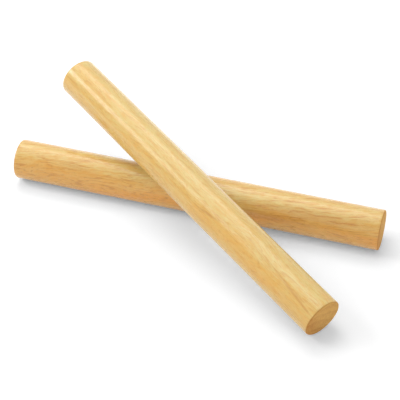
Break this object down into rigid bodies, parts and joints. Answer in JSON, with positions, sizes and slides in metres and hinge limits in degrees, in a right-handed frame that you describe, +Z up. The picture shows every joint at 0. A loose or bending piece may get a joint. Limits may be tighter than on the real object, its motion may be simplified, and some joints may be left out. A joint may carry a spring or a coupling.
{
  "type": "claves",
  "caption": "Plain round hardwood claves with flat ends, one leaning across the other, struck together by hand as a percussion instrument.",
  "frame": {"origin": "on the supporting surface, under the middle of the bounding box of both claves as they lie", "axes": "+X along the lower clave, towards the side where the upper clave's near end lies; +Z up"},
  "size_m": [0.203, 0.1272, 0.056],
  "materials": {
    "lower_wood": "light golden hardwood under clear satin lacquer, grain along the rod, a little deeper in colour than the other clave",
    "upper_wood": "light golden hardwood under clear satin lacquer, grain along the rod"
  },
  "bodies": {
    "lower_clave": {"lower_clave": "lower_wood"},
    "upper_clave": {"upper_clave": "upper_wood"}
  },
  "joints": [
    {"name": "upper_clave_lift", "type": "slide", "parent": "lower_clave", "child": "upper_clave", "axis": [0, 0, 1], "range_m": [0, 0.1]}
  ]
}
